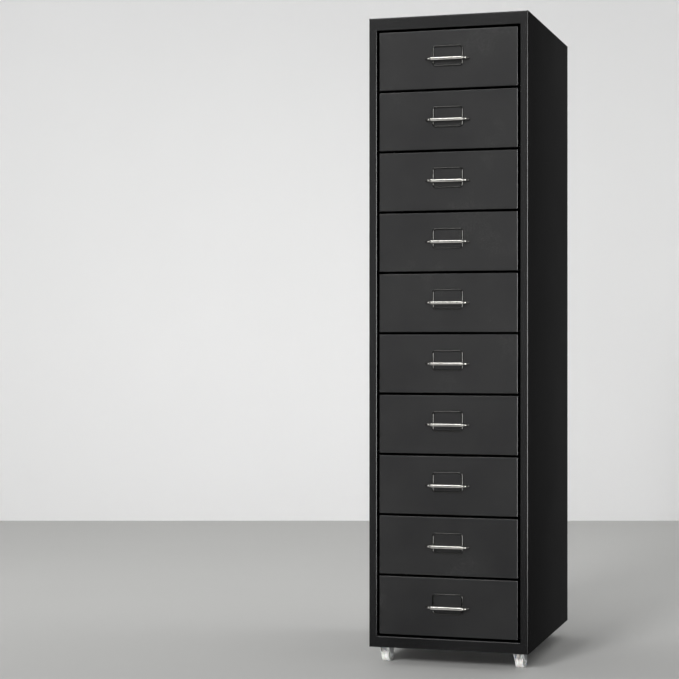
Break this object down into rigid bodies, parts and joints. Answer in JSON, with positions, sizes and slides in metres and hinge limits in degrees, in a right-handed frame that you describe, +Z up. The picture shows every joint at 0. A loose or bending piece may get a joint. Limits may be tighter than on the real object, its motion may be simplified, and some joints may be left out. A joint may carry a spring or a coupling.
{
  "type": "tall chest of drawers",
  "caption": "Tall narrow steel chest of equal shallow drawers with wire label frames and rod pulls, standing on small swivel casters.",
  "frame": {"origin": "on the floor, below the middle of the whole chest's box", "axes": "+Z up, +Y to the back, -Y out of the drawer fronts, +X to the right as seen from the front"},
  "size_m": [0.28, 0.412, 1.122],
  "materials": {
    "cabinet_paint": "semi-gloss black powder coat",
    "drawer_paint": "semi-gloss black powder coat",
    "runner_paint": "satin black powder coat",
    "chrome": "bright nickel-chrome plated wire",
    "dark_nickel": "dark nickel plated wire, glossy",
    "zinc": "bright zinc plating",
    "nylon": "white nylon"
  },
  "bodies": {
    "root": {"left_side": "cabinet_paint", "right_side": "cabinet_paint", "top_panel": "cabinet_paint", "bottom_panel": "cabinet_paint", "back_panel": "cabinet_paint", "left_runners": "runner_paint", "right_runners": "runner_paint", "back_screws": "zinc", "caster_screws": "zinc", "caster_front_left_plate": "zinc", "caster_front_left_kingpin": "zinc", "caster_front_right_plate": "zinc", "caster_front_right_kingpin": "zinc", "caster_rear_left_plate": "zinc", "caster_rear_left_kingpin": "zinc", "caster_rear_right_plate": "zinc", "caster_rear_right_kingpin": "zinc"},
    "drawer_01": {"drawer_01_tray": "drawer_paint", "drawer_01_pull": "chrome", "drawer_01_label_frame": "dark_nickel"},
    "drawer_02": {"drawer_02_tray": "drawer_paint", "drawer_02_pull": "chrome", "drawer_02_label_frame": "dark_nickel"},
    "drawer_03": {"drawer_03_tray": "drawer_paint", "drawer_03_pull": "chrome", "drawer_03_label_frame": "dark_nickel"},
    "drawer_04": {"drawer_04_tray": "drawer_paint", "drawer_04_pull": "chrome", "drawer_04_label_frame": "dark_nickel"},
    "drawer_05": {"drawer_05_tray": "drawer_paint", "drawer_05_pull": "chrome", "drawer_05_label_frame": "dark_nickel"},
    "drawer_06": {"drawer_06_tray": "drawer_paint", "drawer_06_pull": "chrome", "drawer_06_label_frame": "dark_nickel"},
    "drawer_07": {"drawer_07_tray": "drawer_paint", "drawer_07_pull": "chrome", "drawer_07_label_frame": "dark_nickel"},
    "drawer_08": {"drawer_08_tray": "drawer_paint", "drawer_08_pull": "chrome", "drawer_08_label_frame": "dark_nickel"},
    "drawer_09": {"drawer_09_tray": "drawer_paint", "drawer_09_pull": "chrome", "drawer_09_label_frame": "dark_nickel"},
    "drawer_10": {"drawer_10_tray": "drawer_paint", "drawer_10_pull": "chrome", "drawer_10_label_frame": "dark_nickel"},
    "caster_front_left_swivel": {"caster_front_left_fork": "zinc", "caster_front_left_axle": "zinc"},
    "caster_front_left_roller": {"caster_front_left_wheel": "nylon"},
    "caster_front_right_swivel": {"caster_front_right_fork": "zinc", "caster_front_right_axle": "zinc"},
    "caster_front_right_roller": {"caster_front_right_wheel": "nylon"},
    "caster_rear_left_swivel": {"caster_rear_left_fork": "zinc", "caster_rear_left_axle": "zinc"},
    "caster_rear_left_roller": {"caster_rear_left_wheel": "nylon"},
    "caster_rear_right_swivel": {"caster_rear_right_fork": "zinc", "caster_rear_right_axle": "zinc"},
    "caster_rear_right_roller": {"caster_rear_right_wheel": "nylon"}
  },
  "joints": [
    {"name": "drawer_01_slide", "type": "slide", "parent": "root", "child": "drawer_01", "axis": [0, -1, 0], "range_m": [0, 0.3]},
    {"name": "drawer_02_slide", "type": "slide", "parent": "root", "child": "drawer_02", "axis": [0, -1, 0], "range_m": [0, 0.3]},
    {"name": "drawer_03_slide", "type": "slide", "parent": "root", "child": "drawer_03", "axis": [0, -1, 0], "range_m": [0, 0.3]},
    {"name": "drawer_04_slide", "type": "slide", "parent": "root", "child": "drawer_04", "axis": [0, -1, 0], "range_m": [0, 0.3]},
    {"name": "drawer_05_slide", "type": "slide", "parent": "root", "child": "drawer_05", "axis": [0, -1, 0], "range_m": [0, 0.3]},
    {"name": "drawer_06_slide", "type": "slide", "parent": "root", "child": "drawer_06", "axis": [0, -1, 0], "range_m": [0, 0.3]},
    {"name": "drawer_07_slide", "type": "slide", "parent": "root", "child": "drawer_07", "axis": [0, -1, 0], "range_m": [0, 0.3]},
    {"name": "drawer_08_slide", "type": "slide", "parent": "root", "child": "drawer_08", "axis": [0, -1, 0], "range_m": [0, 0.3]},
    {"name": "drawer_09_slide", "type": "slide", "parent": "root", "child": "drawer_09", "axis": [0, -1, 0], "range_m": [0, 0.3]},
    {"name": "drawer_10_slide", "type": "slide", "parent": "root", "child": "drawer_10", "axis": [0, -1, 0], "range_m": [0, 0.3]},
    {"name": "caster_front_left_turn", "type": "hinge", "parent": "root", "child": "caster_front_left_swivel", "pos_m": [-0.119, -0.16, 0.03], "axis": [0, 0, 1], "continuous": true},
    {"name": "caster_front_left_roll", "type": "hinge", "parent": "caster_front_left_swivel", "child": "caster_front_left_roller", "pos_m": [-0.11775, -0.1521, 0.0125], "axis": [0.9877, -0.1564, 0], "continuous": true},
    {"name": "caster_front_right_turn", "type": "hinge", "parent": "root", "child": "caster_front_right_swivel", "pos_m": [0.119, -0.16, 0.03], "axis": [0, 0, 1], "continuous": true},
    {"name": "caster_front_right_roll", "type": "hinge", "parent": "caster_front_right_swivel", "child": "caster_front_right_roller", "pos_m": [0.11984, -0.15204, 0.0125], "axis": [0.9945, -0.1045, 0], "continuous": true},
    {"name": "caster_rear_left_turn", "type": "hinge", "parent": "root", "child": "caster_rear_left_swivel", "pos_m": [-0.098, 0.1696, 0.03], "axis": [0, 0, 1], "continuous": true},
    {"name": "caster_rear_left_roll", "type": "hinge", "parent": "caster_rear_left_swivel", "child": "caster_rear_left_roller", "pos_m": [-0.10125, 0.17691, 0.0125], "axis": [0.9135, 0.4067, 0], "continuous": true},
    {"name": "caster_rear_right_turn", "type": "hinge", "parent": "root", "child": "caster_rear_right_swivel", "pos_m": [0.098, 0.1696, 0.03], "axis": [0, 0, 1], "continuous": true},
    {"name": "caster_rear_right_roll", "type": "hinge", "parent": "caster_rear_right_swivel", "child": "caster_rear_right_roller", "pos_m": [0.10007, 0.17733, 0.0125], "axis": [0.9659, -0.2588, 0], "continuous": true}
  ]
}
